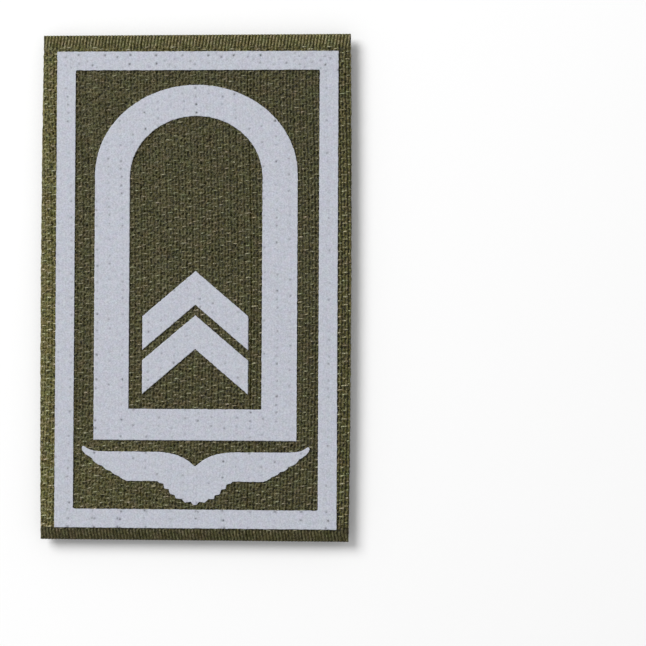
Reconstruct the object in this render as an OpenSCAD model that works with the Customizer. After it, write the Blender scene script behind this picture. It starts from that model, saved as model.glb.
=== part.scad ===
/* [Cloth] */
// Width of the cloth at its two short ends
cloth_w = 48.9; // [48:0.1:52]
// Height of the cloth
cloth_h = 80; // [79:0.5:84]
// Thickness of the woven cloth
cloth_t = 1.1; // [1:0.05:1.6]
// How far each long side bows outward at mid height
side_bow = 0.25; // [0:0.05:0.6]
// Width of the strip along every edge that rolls down
roll_w = 1.7; // [0.8:0.1:1.8]
// How far the cloth has rolled down at its edge
roll_drop = 0.4; // [0.1:0.05:0.6]
// Number of warp ribs that show in the two end bands
rib_count = 96; // [24:1:120]
// Depth of the grooves between those ribs
groove_depth = 0.18; // [0.05:0.01:0.25]

/* [Print] */
// Thickness of the printed film
film_t = 0.15; // [0.1:0.05:0.3]
// How far the whole print sits below the middle of the cloth
print_drop = 0.325; // [-0.4:0.025:0.4]
// How far the whole print sits to the right of the middle of the cloth
print_right = 0.2; // [-0.4:0.05:0.4]
// Outer width of the printed frame
frame_w = 44.75; // [44:0.05:45]
// Outer height of the printed frame
frame_h = 75.45; // [74:0.05:75.6]
// Width of the frame's line
frame_line = 2.96; // [1:0.02:3]
// Radius of the frame's inner corners
frame_corner = 0.25; // [0.05:0.05:1]

/* [Rank arch] */
// Outer width of the arch
arch_w = 32.2; // [30:0.1:36]
// Height of the arch's foot, measured from the middle of the print
arch_foot = -23.86; // [-24:0.02:-22]
// Height where the arch's sides start to curve
arch_spring = 18.2; // [14:0.1:20]
// Rise of the outer curve above that height
arch_rise = 14.2; // [12:0.1:14.4]
// Width of the band along the two sides
arch_side = 5.55; // [3:0.01:6]
// Width of the band across the top and the foot
arch_end = 4.94; // [3:0.01:5.4]
// How far the arch and its chevrons sit to the right of the middle of the print
arch_right = -0.1; // [-0.3:0.05:0.3]

/* [Chevrons] */
// Width of a chevron across its two arms
chevron_w = 16.82; // [10:0.02:17.6]
// Height of a chevron's arm, measured upright
chevron_t = 5.33; // [2:0.01:6]
// Fall of an arm over its run
chevron_slope = 0.85; // [0.5:0.01:0.9]
// Height of the upper chevron's point, measured from the middle of the print
chevron_top = 2.9; // [2:0.1:8]
// Bare cloth between the two chevrons
chevron_gap = 1.66; // [0.4:0.01:2]

/* [Wings] */
// Height of the wings' upper edge, measured from the middle of the print
wing_top = -25.67; // [-26:0.01:-25.2]
// Size of the wings against the span of 36.2 given by the tables below
wing_size = 1; // [0.85:0.01:1.04]

/* [Hook tape] */
// How much smaller the tape is than the cloth, on every side
tape_inset = 0.3; // [0:0.05:1]
// Thickness of the tape's woven ground
tape_t = 0.5; // [0.3:0.05:0.8]
// Height of the hooks that stand out of the ground
hook_h = 1.2; // [0.6:0.05:1.6]
// How far the hooks keep back from the tape's edge
hook_inset = 0.5; // [0.2:0.05:1.5]
// Corner radius of the tape
tape_corner = 0.8; // [0.3:0.1:3]

/* [Hidden] */

// Clear space left between pieces that lie on each other
gap = 0.03;
// Extra length on shapes that cut or trim another
over = 1;

tape_w = cloth_w - 2 * tape_inset;
tape_h = cloth_h - 2 * tape_inset;
cloth_z = hook_h + tape_t + gap;
cloth_top = cloth_z + cloth_t;
film_z = cloth_top + gap;
rib_pitch = cloth_w / rib_count;
widest = cloth_w + 2 * side_bow;

side_steps = 8;
roll_steps = 5;
arch_steps = 48;
curve_steps = 8;

// The wings' tables are for the right half, with y measured from the upper edge.
// Curves of the upper edge and the wing tip: start, first handle, second handle, end
neck_curve = [[0, -2.3], [1.6, -0.83], [3.2, -0.03], [6.5, -0.03]];
crest_curve = [[15, 0], [16.9, 0.05], [17.2, 0.5], [17.8, 0.85]];
tip_curve = [[17.8, 0.85], [18.35, 0.85], [18.1, -0.35], [16.45, -1.05]];
// Feathers of the trailing edge, from the wing tip inward: root x, root y, how far its edge bulges
wing_feathers = [
    [16.45, -1.05, 0.26],
    [14.75, -2.28, 0.19],
    [13.5, -3.03, 0.15],
    [12.2, -3.83, 0.1]
];
// Where the trailing edge runs level: from x, to x, y
wing_level = [10.8, 5.95, -4.63];
// Feathers of the tail, from the side to the middle: tip x, tip y, root x, root y
tail_feathers = [
    [5.62, -4.97, 5.02, -5.06],
    [4.85, -5.77, 4.18, -5.91],
    [3.94, -6.66, 3.17, -6.82],
    [3.02, -7.38, 2.08, -7.47],
    [1.6, -7.99, 0.66, -7.83],
    [0.3, -8.29, 0, -8.41]
];

function flip(points) = [for (i = [len(points) - 1 : -1 : 0]) [-points[i].x, points[i].y]];
function bezier(p, t) =
    pow(1 - t, 3) * p[0] + 3 * t * pow(1 - t, 2) * p[1] + 3 * t * t * (1 - t) * p[2] + pow(t, 3) * p[3];
function curve(p) = [for (i = [0 : curve_steps]) bezier(p, i / curve_steps)];

// Edge of one feather from a to b, bulging away from the wing
function feather_edge(a, b, bulge) =
    let (along = b - a, out = [along.y, -along.x] / -norm(along))
    [for (i = [0 : curve_steps - 1])
        let (t = i / curve_steps)
        a + along * t + out * 4 * bulge * t * (1 - t)];

function trailing_edge() = [
    for (i = [0 : len(wing_feathers) - 1])
        let (
            row = wing_feathers[i],
            next = i + 1 < len(wing_feathers) ? wing_feathers[i + 1] : [wing_level[0], wing_level[2]]
        )
        each feather_edge([row[0], row[1]], [next[0], next[1]], row[2])
];

function half_wing() = concat(
    curve(neck_curve),
    curve(crest_curve),
    [for (i = [1 : curve_steps - 1]) bezier(tip_curve, i / curve_steps)],
    trailing_edge(),
    [[wing_level[0], wing_level[2]], [wing_level[1], wing_level[2]]],
    [for (row = tail_feathers) each [[row[0], row[1]], [row[2], row[3]]]]
);

// Closed outline from a half outline whose first and last points lie on the middle line
function whole(half) = concat(half, flip([for (i = [1 : len(half) - 2]) half[i]]));

// Outline with a flat foot, straight sides and a half ellipse on top
function arch_points(half_w, foot, spring, rise) = concat(
    [[-half_w, foot], [half_w, foot]],
    [for (i = [0 : arch_steps])
        let (a = 180 * i / arch_steps)
        [half_w * cos(a), spring + rise * sin(a)]]
);

// Right edge of the cloth, from its foot to its head
function bowed_side() = [
    for (i = [0 : side_steps])
        let (s = 2 * i / side_steps - 1)
        [cloth_w / 2 + side_bow * (1 - s * s), s * cloth_h / 2]
];

// Section across the cloth: flat underside, and an upper face that rolls down at both ends
function rolled_section(size) = let (
    roll = [for (i = [roll_steps : -1 : 0])
        let (s = i / roll_steps)
        [size / 2 - roll_w * (1 - s), cloth_top - roll_drop * s * s]]
) concat([[-size / 2, cloth_z], [size / 2, cloth_z]], roll, flip(roll));

module outline() {
    polygon(concat(bowed_side(), [for (p = bowed_side()) [-p.x, -p.y]]));
}

module film(z = film_z) {
    translate([print_right, -print_drop, z]) linear_extrude(film_t) children();
}

// One row of narrow grooves that run out of the cloth's head and deepen towards its edge
module grooves() {
    slope = atan((roll_drop + groove_depth) / roll_w);
    cut = roll_w / cos(slope) + over;
    translate([0, cloth_h / 2 - roll_w, cloth_top]) rotate([90 + slope, 0, 180])
        linear_extrude(cut)
            for (i = [1 : rib_count - 1])
                translate([(i - rib_count / 2) * rib_pitch, 0])
                    polygon([[0, 0], [rib_pitch / 2.2, over], [-rib_pitch / 2.2, over]]);
}

module rounded_plate(w, h, r) {
    square([w - 2 * r, h], center = true);
    square([w, h - 2 * r], center = true);
    for (x = [-1, 1], y = [-1, 1])
        translate([x * (w / 2 - r), y * (h / 2 - r)]) circle(r = r, $fn = 32);
}

module face_cloth() {
    color("#4c4a35") difference() {
        intersection() {
            translate([0, 0, cloth_z]) linear_extrude(cloth_t) outline();
            translate([0, (cloth_h + over) / 2, 0]) rotate([90, 0, 0])
                linear_extrude(cloth_h + over) polygon(rolled_section(widest));
            translate([-(widest + over) / 2, 0, 0]) rotate([90, 0, 90])
                linear_extrude(widest + over) polygon(rolled_section(cloth_h));
        }
        grooves();
        rotate([0, 0, 180]) grooves();
    }
}

module border_frame() {
    color("#bdc0ca") film() difference() {
        square([frame_w, frame_h], center = true);
        rounded_plate(frame_w - 2 * frame_line, frame_h - 2 * frame_line, frame_corner);
    }
}

module rank_arch() {
    inner_spring = arch_spring - 0.45;
    inner_rise = arch_spring + arch_rise - arch_end - inner_spring;
    color("#bdc0ca") film() translate([arch_right, 0]) difference() {
        polygon(arch_points(arch_w / 2, arch_foot, arch_spring, arch_rise));
        polygon(arch_points(arch_w / 2 - arch_side, arch_foot + arch_end, inner_spring, inner_rise));
    }
}

module chevron(top) {
    fall = chevron_slope * chevron_w / 2;
    film() translate([arch_right, 0]) polygon([
        [0, top], [-chevron_w / 2, top - fall], [-chevron_w / 2, top - fall - chevron_t],
        [0, top - chevron_t], [chevron_w / 2, top - fall - chevron_t], [chevron_w / 2, top - fall]
    ]);
}

module upper_chevron() {
    color("#bdc0ca") chevron(chevron_top);
}

module lower_chevron() {
    color("#bdc0ca") chevron(chevron_top - chevron_t - chevron_gap);
}

module wings() {
    color("#bdc0ca") film() translate([0, wing_top]) scale(wing_size) polygon(whole(half_wing()));
}

module hook_backing() {
    color("#3d3f30") {
        translate([0, 0, hook_h]) linear_extrude(tape_t) rounded_plate(tape_w, tape_h, tape_corner);
        linear_extrude(hook_h + tape_t / 2)
            rounded_plate(tape_w - 2 * hook_inset, tape_h - 2 * hook_inset, tape_corner);
    }
}

face_cloth();
border_frame();
rank_arch();
upper_chevron();
lower_chevron();
wings();
hook_backing();
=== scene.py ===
import bisect
import math
import random

import bmesh
import bpy
from mathutils import Euler, Matrix, Vector, noise
from mathutils.bvhtree import BVHTree


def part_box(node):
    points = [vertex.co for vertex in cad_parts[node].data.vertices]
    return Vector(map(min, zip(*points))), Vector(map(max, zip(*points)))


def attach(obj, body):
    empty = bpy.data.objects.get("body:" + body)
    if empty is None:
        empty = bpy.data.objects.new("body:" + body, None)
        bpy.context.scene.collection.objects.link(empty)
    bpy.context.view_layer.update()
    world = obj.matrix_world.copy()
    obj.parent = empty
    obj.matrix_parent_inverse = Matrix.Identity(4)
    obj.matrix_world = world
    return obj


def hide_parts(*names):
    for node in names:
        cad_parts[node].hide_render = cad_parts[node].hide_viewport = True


bl_info = {
    "name": "Rank patch",
    "version": (1, 0, 0),
    "blender": (4, 5, 0),
    "location": "View3D > Sidebar > Patch",
    "description": "Weaves, prints and backs a rank patch around its construction model",
    "category": "Object",
}

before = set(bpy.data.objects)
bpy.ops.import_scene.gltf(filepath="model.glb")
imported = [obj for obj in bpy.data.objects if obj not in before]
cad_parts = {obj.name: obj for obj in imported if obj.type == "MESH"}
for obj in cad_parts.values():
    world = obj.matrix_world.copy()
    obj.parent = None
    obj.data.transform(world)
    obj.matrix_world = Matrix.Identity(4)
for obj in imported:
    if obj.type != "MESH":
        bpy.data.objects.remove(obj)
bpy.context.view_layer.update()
CLOTH_LOW, CLOTH_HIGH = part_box("face_cloth")
FILM_LOW, FILM_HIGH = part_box("border_frame")
TAPE_LOW, TAPE_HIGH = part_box("hook_backing")
PRINTED = ("border_frame", "rank_arch", "upper_chevron", "lower_chevron", "wings")

MM = 0.001
HALF_W = CLOTH_HIGH.x
HALF_H = CLOTH_HIGH.y
# The print's solids lie this far clear of the cloth
PRINT_CLEAR = 0.03 * MM
CLOTH_TOP = FILM_LOW.z - PRINT_CLEAR
# How far each long side bows outward, and the strip along every edge that rolls down
SIDE_BOW = 0.25 * MM
ROLL_W = 1.9 * MM

# Warp yarns lie side by side at an even pitch, and run off the two long edges, which are cut
RIBS = 99
RIB_PITCH = 0.51125 * MM
FIRST_RIB = -25.014 * MM
# They work in pairs. Going down the cloth, each weft pick floats over one pair in four, in this order
PAIRS = (RIBS + 1) // 2
FLOAT_ORDER = (1, 2, 0, 3)
REPEAT = len(FLOAT_ORDER)
# The warp yarns bow a little to the right: how far at most, at what height, the bow's curve per metre, and
# the height where it ends. They also splay, by this share of their pitch at the head and at the foot
BOW_SHIFT = 0.25 * MM
BOW_HEIGHT = -5 * MM
BOW_CURVE = 0.65
BOW_END = 31.5 * MM
SPLAY = (0.013, 0.007)
# Columns of the mesh on one rib, from its groove over its crest
RIB_PROFILE = (0.0, 0.72, 1.0, 0.72)
COLUMNS = len(RIB_PROFILE)
# Rows of the mesh over the bare warp ends at the head and the foot, and how far the ends lean to the right
BAND_ROWS = 7
BAND_LEAN = (math.radians(7.5), math.radians(13))
# How far the head is cut past the cloth's half height, and how much further at its right end than in its
# middle
HEAD_PAST = 0.13 * MM
HEAD_SKEW = 0.065 * MM
# Heights of the first weft pick, the print's upper edge and the last picks, and how far the print's sides
# are from the middle. The yarns have worn differently beyond each
FIELD_TOP = 38.06 * MM
PRINT_TOP = 37 * MM
FIELD_FOOT = -38 * MM
PRINT_SIDE = 21.8 * MM


def linear(hex_colour):
    """Linear colour for an sRGB hex value."""
    srgb = [int(hex_colour[i:i + 2], 16) / 255 for i in (1, 3, 5)]
    return tuple(c / 12.92 if c <= 0.04045 else ((c + 0.055) / 1.055) ** 2.4 for c in srgb)


class WeaveSettings(bpy.types.PropertyGroup):
    """Sizes and colours of the woven cloth."""

    pick_pitch: bpy.props.FloatProperty(
        name="Pick pitch", description="Distance from one weft pick to the next",
        default=0.3205 * MM, unit="LENGTH", precision=6)
    field_top: bpy.props.FloatProperty(
        name="First pick", description="Height of the first weft pick above the patch's middle",
        default=FIELD_TOP, unit="LENGTH", precision=6)
    picks: bpy.props.IntProperty(
        name="Picks", description="Number of weft picks between the two ribbed end bands", default=239)
    rib_height: bpy.props.FloatProperty(
        name="Rib height", description="Height of a warp yarn's crest over the groove beside it",
        default=0.15 * MM, unit="LENGTH", precision=6)
    arch_height: bpy.props.FloatProperty(
        name="Arch height", description="How far a warp pair rises between the floats that press it down",
        default=0.1 * MM, unit="LENGTH", precision=6)
    pit_depth: bpy.props.FloatProperty(
        name="Pit depth", description="Depth of the deepest gaps between the yarns beside a float",
        default=0.34 * MM, unit="LENGTH", precision=6)
    float_length: bpy.props.FloatProperty(
        name="Float length", description="Length of a weft float, with the ends that dive into the grooves",
        default=0.95 * MM, unit="LENGTH", precision=6)
    float_width: bpy.props.FloatProperty(
        name="Float width", description="Width of a weft float",
        default=0.22 * MM, unit="LENGTH", precision=6)
    roll_drop: bpy.props.FloatProperty(
        name="Edge roll", description="How far the cloth has rolled down at its edge",
        default=0.4 * MM, unit="LENGTH", precision=6)
    warp_colour: bpy.props.FloatVectorProperty(
        name="Warp colour", description="Colour of the warp yarns",
        default=linear("#4b4724"), subtype="COLOR", min=0, max=1)
    weft_colour: bpy.props.FloatVectorProperty(
        name="Weft colour", description="Colour of the weft floats",
        default=linear("#6f6c51"), subtype="COLOR", min=0, max=1)


class PrintSettings(bpy.types.PropertyGroup):
    """Sizes and colours of the printed film."""

    film_top: bpy.props.FloatProperty(
        name="Film height", description="Height of the film over the cloth",
        default=0.05 * MM, unit="LENGTH", precision=6)
    film_depth: bpy.props.FloatProperty(
        name="Film depth", description="How far the film's rim reaches down into the weave",
        default=0.22 * MM, unit="LENGTH", precision=6)
    relief: bpy.props.FloatProperty(
        name="Relief", description="How far the weave shows through the film",
        default=0.008 * MM, unit="LENGTH", precision=6)
    pit_depth: bpy.props.FloatProperty(
        name="Pit depth", description="Depth of the deepest pinholes in the film",
        default=0.08 * MM, unit="LENGTH", precision=6)
    film_colour: bpy.props.FloatVectorProperty(
        name="Film colour", description="Colour of the print",
        default=linear("#b5b8c2"), subtype="COLOR", min=0, max=1)
    # The cloth seen through a pinhole, darker than the cloth as painted shade in the hole
    pinhole_cloth_and_shade: bpy.props.FloatVectorProperty(
        name="Pinhole colour", description="Colour of the cloth seen through a pinhole",
        default=linear("#3a3a3c"), subtype="COLOR", min=0, max=1)


class HookSettings(bpy.types.PropertyGroup):
    """Sizes and colours of the hook tape on the back."""

    row_pitch: bpy.props.FloatProperty(
        name="Row pitch", description="Distance between rows of hooks",
        default=1.4 * MM, unit="LENGTH", precision=6)
    hook_pitch: bpy.props.FloatProperty(
        name="Hook pitch", description="Distance between hooks in a row",
        default=1.45 * MM, unit="LENGTH", precision=6)
    wire: bpy.props.FloatProperty(
        name="Filament", description="Thickness of the filament that the hooks are made of",
        default=0.19 * MM, unit="LENGTH", precision=6)
    bend: bpy.props.FloatProperty(
        name="Hook bend", description="Radius of a hook's bend",
        default=0.3 * MM, unit="LENGTH", precision=6)
    hook_colour: bpy.props.FloatVectorProperty(
        name="Hook colour", description="Colour of the hooks",
        default=linear("#4d4e3a"), subtype="COLOR", min=0, max=1)
    ground_colour: bpy.props.FloatVectorProperty(
        name="Tape colour", description="Colour of the tape's ground",
        default=linear("#3d3f30"), subtype="COLOR", min=0, max=1)


class StageSettings(bpy.types.PropertyGroup):
    """Camera, lights and floor."""

    camera_place: bpy.props.FloatVectorProperty(
        name="Camera place", description="Where the camera stands", subtype="TRANSLATION", unit="LENGTH",
        default=(35.98 * MM, -10.32 * MM, 300.92 * MM), precision=5)
    camera_turn: bpy.props.FloatVectorProperty(
        name="Camera turn", description="How the camera is turned from straight down", subtype="EULER",
        default=(math.radians(0.928), math.radians(3.006), math.radians(0.269)), precision=5)
    lens: bpy.props.FloatProperty(
        name="Lens", description="Focal length in millimetres, on a 36 mm sensor", default=105.66)
    key_strength: bpy.props.FloatProperty(
        name="Key light", description="Power of the soft light at the upper left, in watts", default=14.7)
    fill_strength: bpy.props.FloatProperty(
        name="Fill light", description="Strength of the light from all round", default=0.5)
    floor_colour: bpy.props.FloatVectorProperty(
        name="Floor colour", description="Colour of the table",
        default=linear("#f7f7f7"), subtype="COLOR", min=0, max=1)


def node(tree, kind, inputs=None, **settings):
    """Add a shader node with its settings. An input is a value, or the socket that feeds it."""
    # Inputs that share a name go by number: of a colour mix, 0 is the factor, and 6 and 7 are the colours
    made = tree.nodes.new(kind)
    for name, value in settings.items():
        setattr(made, name, value)
    for name, value in (inputs or {}).items():
        if isinstance(value, bpy.types.NodeSocket):
            tree.links.new(value, made.inputs[name])
        else:
            made.inputs[name].default_value = value
    return made


def blank_material(name):
    """A material with an empty node tree."""
    material = bpy.data.materials.new(name)
    material.use_nodes = True
    material.node_tree.nodes.clear()
    return material


# How much blue the yarns lose as they darken, so that a painted sheen greys the brighter yarn
PAINTED_SHEEN_BLUE = 0.025


def yarn_material(name, colour, along):
    """Dull spun-dyed nylon yarn: its bundles of filaments differ in how they take dye, with painted light
    and shade for how they catch light.
    """
    material = blank_material(name)
    tree = material.node_tree
    place = node(tree, "ShaderNodeTexCoord").outputs["Object"]
    # Filaments are about 0.02 mm thick. So that they show, they are drawn as bundles of 0.13 by 0.18 mm
    thick, long = 1 / (0.13 * MM), 1 / (0.18 * MM)
    scale = (thick, long, thick) if along == "Y" else (long, thick, thick)
    stretched = node(tree, "ShaderNodeMapping", {"Vector": place, "Scale": scale}).outputs["Vector"]
    bundle = node(tree, "ShaderNodeTexVoronoi", {"Vector": stretched, "Scale": 1.0})
    # The dye has taken a little unevenly, over about 1.5 mm and less
    lot = node(tree, "ShaderNodeTexNoise", {
        "Vector": place, "Scale": 1 / (1.5 * MM), "Detail": 4.0, "Roughness": 0.6}).outputs["Color"]
    red, green, blue = colour
    overlay = {"data_type": "RGBA", "blend_type": "OVERLAY"}
    dyed = node(tree, "ShaderNodeMix", {
        0: 0.26, 6: (red, green, blue + PAINTED_SHEEN_BLUE, 1), 7: lot}, **overlay).outputs[2]
    tinted = node(tree, "ShaderNodeMix", {
        0: 0.04, 6: dyed, 7: bundle.outputs["Color"]}, **overlay).outputs[2]
    # Each bundle is lighter or darker at random: partly its dye, partly painted light and shade on its
    # facets
    own = node(tree, "ShaderNodeSeparateColor", {"Color": bundle.outputs["Color"]}).outputs["Blue"]
    light = node(tree, "ShaderNodeMapRange", {
        "Value": own, "To Min": 0.05, "To Max": 1.95}).outputs["Result"]
    # Each vertex's lightness: random, with painted shade in the grooves and gaps and painted light on
    # lifted yarn
    tone = node(tree, "ShaderNodeAttribute", attribute_name="tone").outputs["Fac"]
    level = node(tree, "ShaderNodeMath", {0: light, 1: tone}, operation="MULTIPLY").outputs["Value"]
    # Bright yarn is greyer and dark yarn is greener: a painted sheen greys the brighter yarn, and the yarn
    # darkened by painted shade keeps its deep colour
    painted_sheen = node(tree, "ShaderNodeVectorMath", {
        0: tinted, 1: level, 2: (0, 0, -PAINTED_SHEEN_BLUE)}, operation="MULTIPLY_ADD").outputs["Vector"]
    kept = node(tree, "ShaderNodeVectorMath", {
        0: painted_sheen, 1: (0, 0, 0)}, operation="MAXIMUM").outputs["Vector"]
    # How much paler the yarn is painted: mostly painted light and shade where the cloth's edges face
    # towards or away from the light
    paling = node(tree, "ShaderNodeAttribute", attribute_name="paling").outputs["Fac"]
    shade = node(tree, "ShaderNodeVectorMath", {
        0: kept, "Scale": paling}, operation="SCALE").outputs["Vector"]
    bump = node(tree, "ShaderNodeBump", {
        "Height": bundle.outputs["Distance"], "Strength": 0.7, "Distance": 0.05 * MM},
        invert=True).outputs["Normal"]
    shader = node(tree, "ShaderNodeBsdfPrincipled", {
        "Base Color": shade, "Roughness": 0.6, "IOR": 1.53, "Specular IOR Level": 0.35, "Normal": bump})
    node(tree, "ShaderNodeOutputMaterial", {"Surface": shader.outputs["BSDF"]})
    return material


def film_material(colour, pinhole_cloth_and_shade):
    """Matte heat-transfer ink: an even pale grey skin, faintly mottled and grainy, pierced by pinholes
    whose dark is partly painted shade.
    """
    material = blank_material("Matte transfer ink")
    tree = material.node_tree
    place = node(tree, "ShaderNodeTexCoord").outputs["Object"]
    # The ink's mottle is about 0.9 mm across, and its grain 0.2 mm
    mottle = node(tree, "ShaderNodeTexNoise", {
        "Vector": place, "Scale": 1 / (0.9 * MM), "Detail": 4.0, "Roughness": 0.75}).outputs["Color"]
    grain = node(tree, "ShaderNodeTexNoise", {
        "Vector": place, "Scale": 1 / (0.2 * MM), "Detail": 1.0}).outputs["Fac"]
    tinted = node(tree, "ShaderNodeMix", {
        0: 0.09, 6: (*colour, 1), 7: mottle}, data_type="RGBA", blend_type="OVERLAY").outputs[2]
    level = node(tree, "ShaderNodeMapRange", {
        "Value": grain, "From Min": 0.25, "From Max": 0.75,
        "To Min": 0.82, "To Max": 1.16}).outputs["Result"]
    ink = node(tree, "ShaderNodeVectorMath", {
        0: tinted, "Scale": level}, operation="SCALE").outputs["Vector"]
    # A pinhole shows the cloth below, darkened further as painted shade in the hole
    pit = node(tree, "ShaderNodeAttribute", attribute_name="pit").outputs["Fac"]
    shade = node(tree, "ShaderNodeMix", {
        0: pit, 6: ink, 7: (*pinhole_cloth_and_shade, 1)}, data_type="RGBA").outputs[2]
    bump = node(tree, "ShaderNodeBump", {
        "Height": grain, "Strength": 0.3, "Distance": 0.02 * MM}).outputs["Normal"]
    shader = node(tree, "ShaderNodeBsdfPrincipled", {
        "Base Color": shade, "Roughness": 0.7, "IOR": 1.46, "Normal": bump})
    node(tree, "ShaderNodeOutputMaterial", {"Surface": shader.outputs["BSDF"]})
    return material


def hook_material(colour):
    """Drawn nylon monofilament: smooth, slightly see-through and a little glossy."""
    material = blank_material("Nylon monofilament")
    tree = material.node_tree
    place = node(tree, "ShaderNodeTexCoord").outputs["Object"]
    # Each hook takes the dye a little differently, over about the distance between hooks
    dye = node(tree, "ShaderNodeTexNoise", {
        "Vector": place, "Scale": 1 / (1.4 * MM), "Detail": 2.0}).outputs["Fac"]
    level = node(tree, "ShaderNodeMapRange", {
        "Value": dye, "From Min": 0.3, "From Max": 0.7, "To Min": 0.8, "To Max": 1.25}).outputs["Result"]
    shade = node(tree, "ShaderNodeVectorMath", {
        0: (*colour,), "Scale": level}, operation="SCALE").outputs["Vector"]
    shader = node(tree, "ShaderNodeBsdfPrincipled", {
        "Base Color": shade, "Roughness": 0.35, "IOR": 1.53})
    node(tree, "ShaderNodeOutputMaterial", {"Surface": shader.outputs["BSDF"]})
    return material


def ground_material(name, colour, rib_pitch):
    """Tight plain-woven nylon ground: fine ribs across a dull sheet."""
    material = blank_material(name)
    tree = material.node_tree
    place = node(tree, "ShaderNodeTexCoord").outputs["Object"]
    # At a scale of 1, the bands of a wave texture are 2 pi / 20 apart
    scale = 2 * math.pi / 20 / rib_pitch
    along, across = (
        node(tree, "ShaderNodeTexWave", {"Vector": place, "Scale": scale, "Distortion": 0.6},
             wave_type="BANDS", bands_direction=axis).outputs["Fac"]
        for axis in ("Y", "X"))
    weave = node(tree, "ShaderNodeMath", {0: along, 1: across}, operation="MULTIPLY").outputs["Value"]
    level = node(tree, "ShaderNodeMapRange", {
        "Value": weave, "To Min": 0.7, "To Max": 1.3}).outputs["Result"]
    shade = node(tree, "ShaderNodeVectorMath", {
        0: (*colour,), "Scale": level}, operation="SCALE").outputs["Vector"]
    bump = node(tree, "ShaderNodeBump", {
        "Height": weave, "Strength": 0.6, "Distance": 0.08 * MM}).outputs["Normal"]
    shader = node(tree, "ShaderNodeBsdfPrincipled", {
        "Base Color": shade, "Roughness": 0.7, "IOR": 1.53, "Normal": bump})
    node(tree, "ShaderNodeOutputMaterial", {"Surface": shader.outputs["BSDF"]})
    return material


def floor_material(colour):
    """Plain white card: pale and matte, with a faint tooth."""
    material = blank_material("White card")
    tree = material.node_tree
    place = node(tree, "ShaderNodeTexCoord").outputs["Object"]
    # The card's tooth is about 0.4 mm
    tooth = node(tree, "ShaderNodeTexNoise", {"Vector": place, "Scale": 1 / (0.4 * MM)}).outputs["Fac"]
    bump = node(tree, "ShaderNodeBump", {
        "Height": tooth, "Strength": 0.05, "Distance": 0.02 * MM}).outputs["Normal"]
    shader = node(tree, "ShaderNodeBsdfPrincipled", {
        "Base Color": (*colour, 1), "Roughness": 0.9, "Normal": bump})
    node(tree, "ShaderNodeOutputMaterial", {"Surface": shader.outputs["BSDF"]})
    return material


def new_mesh(name, bm):
    """Turn a finished bmesh into a mesh, and free it."""
    mesh = bpy.data.meshes.new(name)
    bm.to_mesh(mesh)
    bm.free()
    return mesh


def new_object(name, data):
    """Put a new object into the scene."""
    made = bpy.data.objects.new(name, data)
    bpy.context.scene.collection.objects.link(made)
    return made


def new_piece(name, bm, material, replaces=()):
    """Turn a finished bmesh into a smooth piece of the patch."""
    mesh = new_mesh(name, bm)
    mesh.materials.append(material)
    mesh.shade_smooth()
    piece = new_object(name, mesh)
    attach(piece, "root")
    if replaces:
        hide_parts(*replaces)
    return piece


def drop_skirt(bm, z):
    """Let a skirt fall from the rim of an open sheet to height z, and give its lower edges."""
    rim = [e for e in bm.edges if e.is_boundary]
    skirt = bmesh.ops.extrude_edge_only(bm, edges=rim)["geom"]
    for v in (g for g in skirt if isinstance(g, bmesh.types.BMVert)):
        v.co.z = z
    return [g for g in skirt if isinstance(g, bmesh.types.BMEdge) and g.is_boundary]


def side_at(y):
    """Half the cloth's width at height y."""
    return HALF_W - SIDE_BOW * (y / HALF_H) ** 2


def roll_at(x, y, drop):
    """How far the cloth's upper face has rolled down at a place."""
    inside = min(side_at(y) - abs(x), HALF_H - abs(y))
    return drop * max(0.0, 1 - inside / ROLL_W) ** 2


def ramp(value):
    """A value held between 0 and 1."""
    return min(1, max(0, value))


# How much paler the yarns are: the bare warp ends of the head and the foot, the first picks, and the weave
# outside the print at the left and at the right. Most of it is painted light where the cloth faces the
# light from the upper left; below 1, at the foot, it is painted shade where the cloth rolls away from it
PAINTED_LIGHT_AND_SHADE = {"head": 1.65, "foot": 0.89, "first picks": 1.6, "left": 1.87, "right": 1.51}
# How much paler the lower left corner is. It pales over this distance down and left, from this height and
# the middle
CORNER_PALING = 0.22
CORNER_FADE = 12 * MM
CORNER_TOP = -18 * MM


def paling_at(x, y):
    """How much paler the cloth is painted at a place, mostly as painted light and shade."""
    if y > FIELD_TOP:
        return PAINTED_LIGHT_AND_SHADE["head"]
    if y > PRINT_TOP:
        return PAINTED_LIGHT_AND_SHADE["first picks"]
    if y < FIELD_FOOT:
        return PAINTED_LIGHT_AND_SHADE["foot"]
    if abs(x) > PRINT_SIDE:
        return PAINTED_LIGHT_AND_SHADE["left"] if x < 0 else PAINTED_LIGHT_AND_SHADE["right"]
    return 1 + CORNER_PALING * ramp((CORNER_TOP - y) / CORNER_FADE) * ramp(-x / CORNER_FADE)


def wander(seed, y, size, length):
    """A smooth random drift along y, of about that size and wavelength."""
    return size * noise.noise(Vector((seed * 7.31, y / length, 0.5)))


def float_offset(pair, pick):
    """How many picks a place is from the nearest float over this pair."""
    first = FLOAT_ORDER.index(pair % REPEAT)
    return (pick - first + REPEAT / 2) % REPEAT - REPEAT / 2


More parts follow.
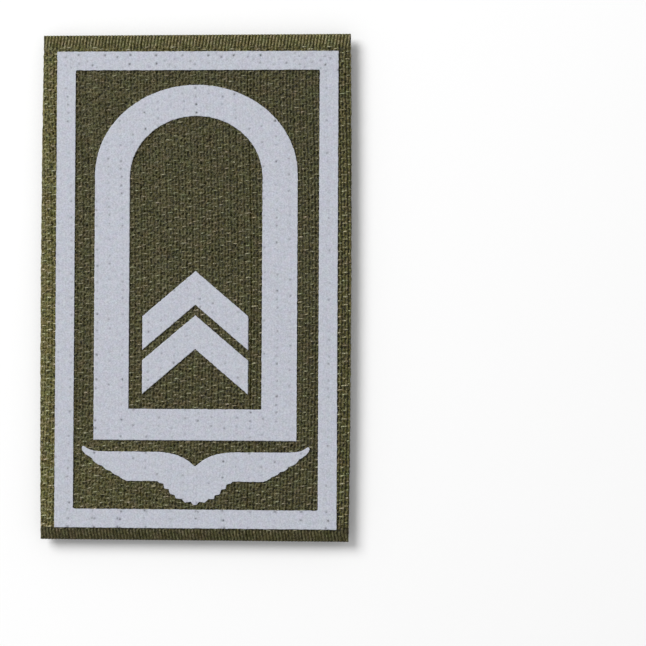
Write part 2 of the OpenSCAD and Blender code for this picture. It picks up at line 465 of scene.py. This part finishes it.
class PATCH_OT_cloth_ground(bpy.types.Operator):
    """Make the sheet that the yarns lie on, with its edges rolled down"""

    bl_idname = "patch.cloth_ground"
    bl_label = "Cloth ground"

    # How far the sheet lies under the cloth's upper face, and inside its edges
    DEPTH = 0.55 * MM
    INSET = 0.1 * MM

    def execute(self, context):
        weave = context.scene.patch_weave
        top = CLOTH_TOP - self.DEPTH
        bm = bmesh.new()
        bmesh.ops.create_grid(bm, x_segments=48, y_segments=80, size=0.5)
        bmesh.ops.extrude_face_region(bm, geom=bm.faces[:])
        bm.verts.ensure_lookup_table()
        upper = set(bm.verts[:len(bm.verts) // 2])
        for v in bm.verts:
            y = 2 * v.co.y * (HALF_H - self.INSET)
            x = 2 * v.co.x * (side_at(y) - self.INSET)
            v.co = (x, y, top - roll_at(x, y, weave.roll_drop) / 2 if v in upper else CLOTH_LOW.z)
        bmesh.ops.recalc_face_normals(bm, faces=bm.faces[:])
        # It shows only in the gaps between the yarns, ribbed at the pitch of the picks. Its colour, darker
        # than the yarns', is partly painted shade in those gaps
        material = ground_material("Woven nylon ground", linear("#3f3d2a"), 0.32 * MM)
        new_piece("cloth_ground", bm, material, ("face_cloth",))
        return {"FINISHED"}


def weave_rows(weave):
    """Heights of the rib mesh's rows from the head of the cloth to its foot, each with its pick number."""
    last = weave.field_top - (weave.picks - 1) * weave.pick_pitch
    head = HALF_H + HEAD_PAST
    rows = [(head - (head - weave.field_top) * i / BAND_ROWS, None) for i in range(BAND_ROWS)]
    rows += [(weave.field_top - i * weave.pick_pitch / 2, i / 2) for i in range(2 * weave.picks - 1)]
    rows += [(last - (HALF_H + last) * (i + 1) / BAND_ROWS, None) for i in range(BAND_ROWS)]
    return rows


def lean_at(y, weave):
    """How far the bare warp ends of the two end bands lean to the right at a height."""
    foot = weave.field_top - weave.picks * weave.pick_pitch
    past = y - weave.field_top if y > 0 else foot - y
    return math.tan(BAND_LEAN[y <= 0]) * max(0.0, past)


def bend(y):
    """How the warp lies at a height: its stretch across the cloth and its shift to the right."""
    stretch = 1 + SPLAY[y <= 0] * (y / HALF_H) ** 2
    return stretch, BOW_SHIFT - BOW_CURVE * (min(y, BOW_END) - BOW_HEIGHT) ** 2


def yarn_x(rib, y):
    """Where across the cloth a place counted in ribs from the left lies, at height y."""
    stretch, shift = bend(y)
    return (FIRST_RIB + RIB_PITCH * rib) * stretch + shift


# How far weft floats sit to the right of the middle of their pair, and how far they stray across and along
# the warp, in millimetres
FLOAT_RIGHT = 0.03
FLOAT_STRAY = (0.05, 0.03)


def float_places(weave):
    """The middle of every weft float of the field, with the stray of real yarn."""
    chooser = random.Random(5)
    places = []
    for pick in range(weave.picks):
        for pair in range(PAIRS):
            if FLOAT_ORDER[pick % REPEAT] == pair % REPEAT:
                y = weave.field_top - pick * weave.pick_pitch + FLOAT_STRAY[1] * MM * chooser.gauss(0, 1)
                x = yarn_x(2 * pair + 1, y) + (FLOAT_RIGHT + FLOAT_STRAY[0] * chooser.gauss(0, 1)) * MM
                places.append((x, y))
    return places


# Where the yarns of one weave repeat part or, below zero, ride up: right and down from the middle of the
# first pair's float, in millimetres, and the share of the full depth
GAPS = (
    (-0.85, -0.18, 0.55), (-0.52, -0.16, 0.55), (-0.47, 0.46, 0.75), (-0.04, 0.44, 0.85), (0.35, 0.56, 0.5),
    (0.55, -0.18, 1.0), (0.66, 0.67, 0.4), (1.08, 0.78, 1.0), (1.57, 0.08, 1.0), (1.66, 0.68, 0.85),
    (2.0, 0.16, 0.4), (2.18, 0.05, 0.75), (2.64, -0.05, 0.75), (2.6, 0.39, 1.0), (2.74, 0.83, 0.2),
    (2.24, 0.66, -0.5), (-0.4, 0.16, -0.45), (2.29, -0.23, -0.4), (-0.35, 0.75, -0.35), (1.19, 0.06, -0.35),
    (2.75, 0.6, -0.3), (0.25, -0.36, -0.25))
GAP_RADIUS = 0.12 * MM
# How far those gaps stray, and how far smaller ones do across and along the warp, in millimetres
GAP_STRAY = 0.04
SMALL_STRAY = (0.08, 0.09)
# The least share of its depth in that list that a gap has, and how much more the greatest is
GAP_LEAST, GAP_MORE = 0.6, 0.7
# Depth of the deepest small gap as a share of the full depth, and how rare the deep ones among them are
SMALL_GAP = 0.7
SMALL_RARITY = 2.5


def gap_places(weave):
    """Every gap between the yarns: its place and its depth."""
    chooser = random.Random(23)
    places = []
    for pick in range(0, weave.picks, REPEAT):
        for pair in range(FLOAT_ORDER[0] - REPEAT, PAIRS, REPEAT):
            for across, down, share in GAPS:
                down += GAP_STRAY * chooser.gauss(0, 1)
                across += GAP_STRAY * chooser.gauss(0, 1)
                y = weave.field_top - pick * weave.pick_pitch - down * MM
                x = yarn_x(2 * pair + 1 + across * MM / RIB_PITCH, y)
                share *= GAP_LEAST + GAP_MORE * chooser.random()
                places.append((x, y, weave.pit_depth * share))
    for pick in range(weave.picks):
        y = weave.field_top - pick * weave.pick_pitch
        # Smaller gaps anywhere along the yarns, where a pick shows between them
        for half_rib in range(2 * RIBS):
            x = yarn_x(half_rib / 2, y) + SMALL_STRAY[0] * MM * chooser.gauss(0, 1)
            depth = SMALL_GAP * weave.pit_depth * chooser.random() ** SMALL_RARITY
            places.append((x, y + SMALL_STRAY[1] * MM * chooser.gauss(0, 1), depth))
    return places


def gap_depths(weave, rows):
    """How deep the cloth is open at each vertex of the rib mesh, by (row, column)."""
    depths = {}
    reach = 2 * GAP_RADIUS
    lines = [[yarn_x(c / COLUMNS, y) for c in range(RIBS * COLUMNS + 1)] for y, _ in rows]
    for x, y, depth in gap_places(weave):
        row = BAND_ROWS + round((weave.field_top - y) / weave.pick_pitch * 2)
        for r in range(max(BAND_ROWS, row - 1), min(len(rows) - BAND_ROWS, row + 2)):
            line = lines[r]
            for c in range(bisect.bisect(line, x - reach), bisect.bisect(line, x + reach)):
                away = math.hypot(line[c] - x, rows[r][0] - y)
                depths[r, c] = depths.get((r, c), 0) + depth * math.exp(-(away / GAP_RADIUS) ** 2)
    return depths


def rib_height_at(column, pick, weave):
    """Height of the warp over its deepest groove, at a column of the mesh and a pick, without its gaps."""
    rib, part = divmod(column, COLUMNS)
    pair = min(rib // 2, PAIRS - 1)
    rise = (1 - math.cos(math.pi / 2 * float_offset(pair, pick))) / 2
    if column % (2 * COLUMNS) == 0:
        rise = (rise + (1 - math.cos(math.pi / 2 * float_offset(pair - 1, pick))) / 2) / 2
    crest = RIB_PROFILE[part]
    if part == 0 and pick is not None:
        # Neighbouring yarns press together here and part there
        crest = 0.25 + 0.8 * noise.noise(Vector((rib, pick / 3, 4.0)))
    return weave.arch_height * rise + weave.rib_height * crest


# The attributes that colour each vertex of a yarn: its tone, random with painted shade and painted light in
# it, and how much paler it is painted, mostly as painted light and shade
YARN_ATTRIBUTES = ("tone", "paling")

# The warp's smooth drift across the cloth, as size and wavelength: a bare end, a yarn in the weave, and the
# cut edge
END_DRIFT = (0.03 * MM, 1.5 * MM)
YARN_DRIFT = (0.06 * MM, 0.6 * MM)
EDGE_DRIFT = (0.08 * MM, 0.5 * MM)
# Unevenness of the woven yarns' height, as size and wavelength
YARN_ROUGHNESS = (0.05 * MM, 0.2 * MM)
# How much deeper the grooves are between the bare warp ends, and the share of their depth left at the cut
END_GROOVE = 0.14 * MM
CUT_GROOVE = 0.4
# How far the cut ends stand out of the grooves beside them, and how far the yarns lie under the cloth's top
CUT_STAND = 0.04 * MM
YARN_LOW = 0.04 * MM


def rib_point(column, row, rows, weave):
    """Place of one vertex of the corrugated sheet of warp yarns."""
    y, pick = rows[row]
    rib, part = divmod(column, COLUMNS)
    cut = row in (0, len(rows) - 1)
    x = yarn_x(column / COLUMNS, y) + lean_at(y, weave)
    full = weave.rib_height + weave.arch_height
    if pick is None:
        # Bare warp ends: round ribs with deep grooves
        low = (1 - RIB_PROFILE[part]) * (full + END_GROOVE) * (CUT_GROOVE if cut else 1)
        x += wander(rib, y, *END_DRIFT)
    else:
        low = full - rib_height_at(column, pick, weave)
        x += wander(rib + 0.5 * (part == 0), y, *YARN_DRIFT)
        size, length = YARN_ROUGHNESS
        low += size * noise.noise(Vector((x, y, rib * MM)) / length)
    side = side_at(y) + wander(3, y, *EDGE_DRIFT)
    if abs(x) > side:
        # Cut off at the long edge
        x, low = math.copysign(side, x), full / 2
    elif cut:
        y -= math.copysign(CUT_STAND * (1 - RIB_PROFILE[part]), y)
        y += HEAD_SKEW * x / HALF_W * (row == 0)
    return Vector((x, y, CLOTH_TOP - YARN_LOW - low - roll_at(x, y, weave.roll_drop)))


# Painted shade in the warp's grooves, painted light that lifts its yarns, and how uneven their lightness
# is: over the bare ends at the head and at the foot, and left of the print
HEAD_SHADING_AND_TONE = (0.94, 1.2, 0.08)
FOOT_SHADING_AND_TONE = (0.45, 1.19, 0.24)
LEFT_SHADING_AND_TONE = (0.45, 1.0, 0.1)
# Over the rest of the weave, the last two of these
FIELD_TONE = (1.0, 0.1)
# The least, the most and the slope of the painted shade that a gap leaves in the yarn beside it; above 1 it
# is painted light where the yarn rides up
GAP_SHADE_AND_LIGHT = (0.1, 1.5, 1.35)
# Tone of the darkest warp yarn, and how much more the lightest has
YARN_LEAST, YARN_MORE = 0.9, 0.2
# How far the sheet's closed underside stays above the cloth's
UNDER_CLEAR = 0.02 * MM
# Yarn that rides up does so by this share of a gap's depth. This near the cut edge, no gap opens
RIDE_UP = 1 / 3
EDGE_CLEAR = 0.1 * MM


def warp_tone(x, y, bare):
    """How much painted shade darkens the grooves at a place, how much painted light lifts the yarns and how
    uneven their lightness is.
    """
    if bare:
        return HEAD_SHADING_AND_TONE if y > 0 else FOOT_SHADING_AND_TONE
    if x < -PRINT_SIDE:
        return LEFT_SHADING_AND_TONE
    # The grooves stand out more and more towards the right, away from the light
    right = x / HALF_W
    return max(0.0, 0.31 + 0.36 * right + 0.35 * max(0.0, right) ** 3), *FIELD_TONE


def warp_sheet(first, last, weave, rows, gaps):
    """Corrugated sheet of the warp yarns from rib first up to rib last, closed underneath."""
    columns = (last - first) * COLUMNS
    bm = bmesh.new()
    tone, paling = (bm.verts.layers.float.new(name) for name in YARN_ATTRIBUTES)
    bmesh.ops.create_grid(bm, x_segments=columns, y_segments=len(rows) - 1, size=0.5)
    chooser = random.Random(11)
    tones = [YARN_LEAST + YARN_MORE * chooser.random() for _ in range(RIBS + 1)]
    least, most, slope = GAP_SHADE_AND_LIGHT
    for v in bm.verts:
        column = first * COLUMNS + round((v.co.x + 0.5) * columns)
        row = round((0.5 - v.co.y) * (len(rows) - 1))
        y, pick = rows[row]
        v.co = rib_point(column, row, rows, weave)
        gap = gaps.get((row, column), 0.0) * (abs(v.co.x) < side_at(y) - EDGE_CLEAR)
        v.co.z -= gap if gap > 0 else gap * RIDE_UP
        dark, painted_light, spread = warp_tone(v.co.x, y, pick is None)
        # Painted shade darkens each rib's groove and the yarn beside a gap; painted light brightens yarn
        # that rides up and the bare ends
        groove = dark * (column % COLUMNS == 0)
        gap_shade_and_light = min(most, max(least, 1 - slope * gap / weave.pit_depth))
        v[tone] = (
            tones[min(column // COLUMNS, RIBS)] * (1 - groove) * gap_shade_and_light
            * painted_light * (1 + spread * chooser.gauss(0, 1)))
        v[paling] = paling_at(v.co.x, y)
    bmesh.ops.remove_doubles(bm, verts=bm.verts[:], dist=1e-8)
    bmesh.ops.contextual_create(bm, geom=drop_skirt(bm, CLOTH_LOW.z + UNDER_CLEAR))
    bmesh.ops.recalc_face_normals(bm, faces=bm.faces[:])
    return bm


class PATCH_OT_warp_ribs(bpy.types.Operator):
    """Lay the warp yarns side by side over the whole cloth"""

    bl_idname = "patch.warp_ribs"
    bl_label = "Warp ribs"

    def execute(self, context):
        weave = context.scene.patch_weave
        rows = weave_rows(weave)
        gaps = gap_depths(weave, rows)
        material = yarn_material("Nylon warp yarn", weave.warp_colour, "Y")
        third = RIBS // 3
        for name, first, last in (
                ("warp_ribs_left", 0, third), ("warp_ribs_middle", third, 2 * third),
                ("warp_ribs_right", 2 * third, RIBS)):
            new_piece(name, warp_sheet(first, last, weave, rows, gaps), material)
        return {"FINISHED"}


def yarn_dash():
    """Mesh of a short stretch of yarn, 1 long along X and 1 wide and high, with ends that dive."""
    bm = bmesh.new()
    bmesh.ops.create_uvsphere(bm, u_segments=6, v_segments=8, radius=0.5)
    bmesh.ops.rotate(bm, verts=bm.verts[:], matrix=Matrix.Rotation(math.radians(90), 3, "Y"))
    for v in bm.verts:
        # Blunter than a ball, and bent down over the last third
        x = 2 * v.co.x
        v.co.x = 0.5 * math.copysign(abs(x) ** 0.8, x)
        v.co.z -= 1.2 * abs(x) ** 4
    return new_mesh("dash", bm)


def lay(bm, template, centre, size, turn, tilt=0.0, **attributes):
    """Add a copy of a template mesh, sized and turned about Z and Y, with attributes for its vertices."""
    layers = [(bm.verts.layers.float[name], value) for name, value in attributes.items()]
    copy = template.copy()
    copy.transform(Matrix.LocRotScale(centre, Euler((0, tilt, turn)), size))
    before = len(bm.verts)
    bm.from_mesh(copy)
    bpy.data.meshes.remove(copy)
    bm.verts.ensure_lookup_table()
    for v in bm.verts[before:]:
        for layer, value in layers:
            v[layer] = value


def print_above():
    """Search trees of the printed shapes, to tell which yarns they hide."""
    trees = []
    for name in PRINTED:
        bm = bmesh.new()
        bm.from_mesh(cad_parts[name].data)
        trees.append(BVHTree.FromBMesh(bm))
        bm.free()
    return trees


def hidden(trees, x, y):
    """True where a printed shape covers the cloth."""
    start = Vector((x, y, FILM_HIGH.z + MM))
    return any(tree.ray_cast(start, Vector((0, 0, -1)))[0] for tree in trees)


class PATCH_OT_weft_floats(bpy.types.Operator):
    """Lay the weft floats that show over the warp pairs"""

    bl_idname = "patch.weft_floats"
    bl_label = "Weft floats"

    # How high a float is, how far its middle lies under the cloth's top, and the shortest that is laid
    HEIGHT = 0.24 * MM
    DEPTH = 0.13 * MM
    SHORTEST = 0.3 * MM
    # How far floats end inside the cut edge
    EDGE = 0.05 * MM
    # The spread of their length and width, as shares, of their depth, and of their turn about its mean
    LENGTH_SPREAD = 0.15
    WIDTH_SPREAD = 0.16
    DEPTH_SPREAD = 0.02 * MM
    TURN = 6
    TURN_SPREAD = 4
    # The spread of their tone and the darkest tone
    TONE_SPREAD = 0.18
    DARKEST = 0.4
    # They are duller over the cloth's upper third: by how much, from what height up, over what distance
    DULL = 0.22
    DULL_FROM = 9.6 * MM
    DULL_FADE = 12 * MM
    # The share of the painted light, shade and paling of the sheet under them that they show
    SHEET_LIGHT_SHARE = 0.8

    def execute(self, context):
        weave = context.scene.patch_weave
        chooser = random.Random(7)
        trees = print_above()
        dash = yarn_dash()
        bm = bmesh.new()
        for name in YARN_ATTRIBUTES:
            bm.verts.layers.float.new(name)
        reach = weave.float_length / 2
        # The roll's slope is taken over this distance
        near = 0.1 * MM
        for x, y in float_places(weave):
            if all(hidden(trees, x + side, y) for side in (-reach, 0, reach)):
                continue
            longer, wider, higher, lighter, turned = (chooser.gauss(0, 1) for _ in range(5))
            limit = side_at(y) - self.EDGE
            left = max(-limit, x - reach * (1 + self.LENGTH_SPREAD * longer))
            right = min(limit, x + reach * (1 + self.LENGTH_SPREAD * longer))
            if right - left < self.SHORTEST:
                continue
            x = (left + right) / 2
            size = Vector((right - left, weave.float_width * (1 + self.WIDTH_SPREAD * wider), self.HEIGHT))
            drop = roll_at(x, y, weave.roll_drop)
            tilt = math.atan((roll_at(x + near, y, weave.roll_drop) - drop) / near)
            centre = Vector((x, y, CLOTH_TOP - self.DEPTH - drop + self.DEPTH_SPREAD * higher))
            turn = math.radians(self.TURN + self.TURN_SPREAD * turned)
            dull = self.DULL * ramp((y - self.DULL_FROM) / self.DULL_FADE)
            lay(
                bm, dash, centre, size, turn, tilt,
                tone=max(self.DARKEST, 1 - dull + self.TONE_SPREAD * lighter),
                paling=1 + self.SHEET_LIGHT_SHARE * (paling_at(x, y) - 1))
        bpy.data.meshes.remove(dash)
        material = yarn_material("Nylon weft yarn", weave.weft_colour, "X")
        floats = new_piece("weft_floats", bm, material)
        return {"FINISHED"}


def cut_lines(bm, axis, places):
    """Cut a flat mesh along planes across one axis, from the lowest place to the highest."""
    direction = Vector((axis == 0, axis == 1, 0))
    pending = bm.verts[:] + bm.edges[:] + bm.faces[:]
    for place in places:
        cut = bmesh.ops.bisect_plane(
            bm, geom=pending, dist=1e-7, plane_co=direction * place, plane_no=direction)
        limit = place + 1e-6
        pending = []
        for part in cut["geom"]:
            ends = [part] if isinstance(part, bmesh.types.BMVert) else part.verts
            if max(v.co[axis] for v in ends) > limit:
                pending.append(part)


def steps(low, high, pitch):
    """Places of cuts on a lattice of that pitch between two limits."""
    first = math.ceil(low / pitch)
    return [i * pitch for i in range(first, math.floor(high / pitch) + 1)]


class Pinholes:
    """Pinholes where the film doesn't bridge the weave, at the same few places in each weave repeat."""

    RADIUS = 0.15 * MM
    STRAY = 0.05 * MM
    # How many weave repeats the print covers, across and down
    REPEATS = (12, 62)
    # Past these distances from the middle are the frame's head and foot, its sides, and the arch's crown
    ENDS = 34 * MM
    SIDES = 19 * MM
    CROWN = 24 * MM
    # The holes' places, right and down as shares of the repeat, and their strengths: in the frame's head,
    # in its foot, and between
    HEAD = ((0.855, 0.2, 0.65), (0.355, 0.99, 1.0), (1.08, 0.49, 0.35), (0.67, 0.7, 0.35))
    FOOT = ((0.93, 0.22, 0.8), (1.0, 0.31, 0.8))
    FIELD = ((0.885, 0.1, 1.0), (0.375, 0.77, 0.65))
    # The greatest strength, and how rare strong ones are
    MOST = 1.2
    RARITY = 1.4

    def __init__(self, weave):
        self.across = 2 * REPEAT * RIB_PITCH
        self.left = FIRST_RIB + (2 * FLOAT_ORDER[0] + 1) * RIB_PITCH
        self.down = REPEAT * weave.pick_pitch
        self.top = weave.field_top
        chooser = random.Random(29)
        self.holes = {}
        for kx in range(self.REPEATS[0]):
            for ky in range(self.REPEATS[1]):
                y = self.top - (ky + 0.5) * self.down
                pattern = self.FIELD if abs(y) < self.ENDS else self.HEAD if y > 0 else self.FOOT
                self.holes[kx, ky] = [
                    self.hole(kx + dx, ky + dy, most, chooser) for dx, dy, most in pattern]

    def hole(self, across, down, most, chooser):
        """One pinhole at a place counted in repeats: where it is, and its strength."""
        x = self.left + across * self.across + self.STRAY * chooser.gauss(0, 1)
        y = self.top - down * self.down + self.STRAY * chooser.gauss(0, 1)
        return x, y, min(self.MOST, most * self.share(x, y) * chooser.random() ** self.RARITY)

    def share(self, x, y):
        """How strong the pinholes are at a place. The ink has bridged the weave least near the head."""
        if abs(y) > self.ENDS:
            return 1.65 if y > 0 else 1.4
        if abs(x) > self.SIDES:
            return 0.75
        return 1.3 if y > self.CROWN else 1.1

    def at(self, x, y):
        """Strength of the pinhole at a place, up to MOST."""
        stretch, shift = bend(y)
        x = (x - shift) / stretch
        kx, ky = round((x - self.left) / self.across), round((self.top - y) / self.down)
        deepest = 0.0
        for cell in ((kx - 1, ky - 1), (kx - 1, ky), (kx, ky - 1), (kx, ky)):
            for hole_x, hole_y, strength in self.holes.get(cell, ()):
                away = math.hypot(x - hole_x, y - hole_y) / self.RADIUS
                deepest = max(deepest, strength * math.exp(-away * away))
        return deepest


class PATCH_OT_print_films(bpy.types.Operator):
    """Lay the printed film over the cloth, shape by shape, on the outlines of the frame"""

    bl_idname = "patch.print_films"
    bl_label = "Print films"

    # Distance of two points that are one, or of a place from a plane that it lies in
    TOUCH = 1e-6
    # Length of the film's swells, and their height against that of the ribs
    SWELL = 0.8 * MM
    SWELL_SHARE = 1.5
    # How far the film's outlines waver, and over what length
    WAVER = 0.06 * MM
    WAVER_LENGTH = 0.35 * MM

    def execute(self, context):
        weave = context.scene.patch_weave
        ink = context.scene.patch_print
        pinholes = Pinholes(weave)
        material = film_material(ink.film_colour, ink.pinhole_cloth_and_shade)
        for name in PRINTED:
            self.lay_film(name, weave, ink, pinholes, material)
        return {"FINISHED"}

    def lay_film(self, name, weave, ink, pinholes, material):
        """One film: the shape's own upper face, cut fine enough to take the weave's relief."""
        low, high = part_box(name)
        bm = bmesh.new()
        bm.from_mesh(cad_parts[name].data)
        bmesh.ops.remove_doubles(bm, verts=bm.verts[:], dist=self.TOUCH)
        lower = [f for f in bm.faces if min(v.co.z for v in f.verts) < high.z - self.TOUCH]
        bmesh.ops.delete(bm, geom=lower, context="FACES")
        cut_lines(bm, 0, steps(low.x, high.x, RIB_PITCH / 3))
        cut_lines(bm, 1, steps(low.y, high.y, weave.pick_pitch / 2))
        pit = bm.verts.layers.float.new("pit")
        top = CLOTH_TOP + ink.film_top
        for v in bm.verts:
            x, y = v.co.x, v.co.y
            v[pit] = pinholes.at(x, y)
            stretch, shift = bend(y)
            rib = math.cos(2 * math.pi * ((x - shift) / stretch - FIRST_RIB) / RIB_PITCH)
            swell = self.SWELL_SHARE * noise.noise(Vector((x, y, 0)) / self.SWELL)
            v.co.x += self.WAVER * noise.noise(Vector((x, y, MM)) / self.WAVER_LENGTH)
            v.co.y += self.WAVER * noise.noise(Vector((y, x, 2 * MM)) / self.WAVER_LENGTH)
            v.co.z = top + ink.relief * (rib + swell) - ink.pit_depth * v[pit]
        bmesh.ops.triangle_fill(bm, edges=drop_skirt(bm, top - ink.film_depth), use_beauty=False)
        bmesh.ops.recalc_face_normals(bm, faces=bm.faces[:])
        new_piece(name + "_film", bm, material, (name,))


class PATCH_OT_hook_tape(bpy.types.Operator):
    """Make the hook tape on the back: its woven ground and its rows of hooks"""

    bl_idname = "patch.hook_tape"
    bl_label = "Hook tape"

    # Thickness of the tape's ground, radius of its corners, rounding of its rims and pitch of its weave
    GROUND = 0.5 * MM
    CORNER = 0.8 * MM
    RIM = 0.08 * MM
    GROUND_PITCH = 0.7 * MM
    # How far the hooks keep back from the tape's edge, and how far their roots reach into the ground
    MARGIN = 0.9 * MM
    ROOT = 0.1 * MM
    # How far a hook bends round, how many degrees hooks differ in their turn, and the rows' stagger as a
    # share of the distance between hooks
    BEND_TURN = math.radians(205)
    TURN_SPREAD = 9
    STAGGER = 0.25

    def execute(self, context):
        settings = context.scene.patch_hooks
        self.ground(settings)
        self.hooks(settings)
        return {"FINISHED"}

    def ground(self, settings):
        """The tape itself, with rounded corners."""
        low = Vector((TAPE_LOW.x, TAPE_LOW.y, TAPE_HIGH.z - self.GROUND))
        bm = bmesh.new()
        bmesh.ops.create_cube(bm, size=1)
        bmesh.ops.scale(bm, verts=bm.verts[:], vec=TAPE_HIGH - low)
        bmesh.ops.translate(bm, verts=bm.verts[:], vec=(TAPE_HIGH + low) / 2)
        upright = [e for e in bm.edges if abs(e.verts[0].co.z - e.verts[1].co.z) > MM / 10]
        bmesh.ops.bevel(
            bm, geom=upright, offset=self.CORNER, segments=6, profile=0.5, affect="EDGES", material=-1)
        rims = [e for e in bm.edges if abs(e.verts[0].co.z - e.verts[1].co.z) < MM / 100]
        bmesh.ops.bevel(
            bm, geom=rims, offset=self.RIM, segments=2, profile=0.5, affect="EDGES", material=-1)
        material = ground_material("Woven nylon tape", settings.ground_colour, self.GROUND_PITCH)
        sheet = new_piece("hook_tape_ground", bm, material, ("hook_backing",))

    def hook(self, settings):
        """Mesh of one hook, hanging from the origin and bent towards +X."""
        drop = TAPE_HIGH.z - self.GROUND - settings.bend - settings.wire / 2
        bm = bmesh.new()
        bmesh.ops.create_circle(bm, cap_ends=True, segments=5, radius=settings.wire / 2)
        bmesh.ops.translate(bm, verts=bm.verts[:], vec=(0, 0, self.ROOT))
        down = bmesh.ops.extrude_face_region(bm, geom=bm.faces[:])["geom"]
        moved = [g for g in down if isinstance(g, bmesh.types.BMVert)]
        bmesh.ops.translate(bm, verts=moved, vec=(0, 0, -drop - self.ROOT))
        end = [g for g in down if isinstance(g, bmesh.types.BMFace)]
        bmesh.ops.spin(
            bm, geom=end, cent=(settings.bend, 0, -drop), axis=(0, -1, 0),
            angle=self.BEND_TURN, steps=6, use_duplicate=False)
        bmesh.ops.recalc_face_normals(bm, faces=bm.faces[:])
        return new_mesh("hook", bm)

    def hooks(self, settings):
        """Rows of hooks, facing left and right in turn."""
        chooser = random.Random(17)
        hook = self.hook(settings)
        bm = bmesh.new()
        across = TAPE_HIGH.x - self.MARGIN - settings.bend
        along = TAPE_HIGH.y - self.MARGIN
        root = TAPE_HIGH.z - self.GROUND
        rows, places = round(2 * across / settings.row_pitch), round(2 * along / settings.hook_pitch)
        for row in range(rows + 1):
            for place in range(places + 1):
                x = -across + 2 * across * row / rows
                stagger = self.STAGGER * (-1) ** row
                y = -along + 2 * along * (place + stagger) / (places + 2 * self.STAGGER)
                turn = math.radians(180 * (row % 2) + self.TURN_SPREAD * chooser.gauss(0, 1))
                lay(bm, hook, Vector((x, y, root)), Vector((1, 1, 1)), turn)
        bpy.data.meshes.remove(hook)
        new_piece("hooks", bm, hook_material(settings.hook_colour))


class PATCH_OT_stage(bpy.types.Operator):
    """Set up the white table, the soft light from the upper left and the camera"""

    bl_idname = "patch.stage"
    bl_label = "Stage"

    # Half the table's size, and where the soft light stands and how wide it is, in metres
    TABLE = 1.5
    LIGHT_PLACE = (-0.68, 0.6, 0.92)
    LIGHT_SIZE = 0.8

    def execute(self, context):
        stage = context.scene.patch_stage
        bm = bmesh.new()
        bmesh.ops.create_grid(bm, x_segments=1, y_segments=1, size=self.TABLE)
        mesh = new_mesh("table", bm)
        mesh.materials.append(floor_material(stage.floor_colour))
        table = new_object("table", mesh)

        light = bpy.data.lights.new("key", "AREA")
        light.shape = "DISK"
        light.size = self.LIGHT_SIZE
        light.energy = stage.key_strength
        key = new_object("key", light)
        key.location = self.LIGHT_PLACE
        key.rotation_euler = (-key.location).to_track_quat("-Z", "Y").to_euler()

        world = bpy.data.worlds.new("studio")
        world.use_nodes = True
        world.node_tree.nodes.clear()
        sky = node(world.node_tree, "ShaderNodeBackground", {
            "Color": (1, 1, 1, 1), "Strength": stage.fill_strength})
        node(world.node_tree, "ShaderNodeOutputWorld", {"Surface": sky.outputs["Background"]})
        context.scene.world = world
        context.scene.view_settings.view_transform = "Standard"

        lens = bpy.data.cameras.new("camera")
        lens.lens = stage.lens
        lens.clip_start, lens.clip_end = 0.01, 10
        camera = new_object("camera", lens)
        camera.location = stage.camera_place
        camera.rotation_euler = stage.camera_turn
        context.scene.camera = camera
        return {"FINISHED"}


class PATCH_PT_panel(bpy.types.Panel):
    """Lists the steps that make the patch, with their settings"""

    bl_idname = "PATCH_PT_panel"
    bl_label = "Rank patch"
    bl_space_type = "VIEW_3D"
    bl_region_type = "UI"
    bl_category = "Patch"

    def draw(self, context):
        for operator in STEPS:
            self.layout.operator(operator.bl_idname)
        for name in SETTINGS:
            settings = getattr(context.scene, name)
            box = self.layout.box()
            for key in settings.bl_rna.properties.keys():
                if key not in ("rna_type", "name"):
                    box.prop(settings, key)


STEPS = (
    PATCH_OT_stage,
    PATCH_OT_hook_tape,
    PATCH_OT_cloth_ground,
    PATCH_OT_warp_ribs,
    PATCH_OT_weft_floats,
    PATCH_OT_print_films,
)
SETTINGS = {
    "patch_weave": WeaveSettings,
    "patch_print": PrintSettings,
    "patch_hooks": HookSettings,
    "patch_stage": StageSettings,
}


def register():
    """Register the settings, the steps and the panel."""
    for name, group in SETTINGS.items():
        bpy.utils.register_class(group)
        setattr(bpy.types.Scene, name, bpy.props.PointerProperty(type=group))
    for step in (*STEPS, PATCH_PT_panel):
        bpy.utils.register_class(step)


def unregister():
    """Take back everything that register added."""
    for step in reversed((*STEPS, PATCH_PT_panel)):
        bpy.utils.unregister_class(step)
    for name, group in SETTINGS.items():
        delattr(bpy.types.Scene, name)
        bpy.utils.unregister_class(group)


def main():
    """Make the whole patch."""
    register()
    bpy.ops.patch.stage()
    bpy.ops.patch.hook_tape()
    bpy.ops.patch.cloth_ground()
    bpy.ops.patch.warp_ribs()
    bpy.ops.patch.weft_floats()
    bpy.ops.patch.print_films()


if __name__ == "__main__":
    main()
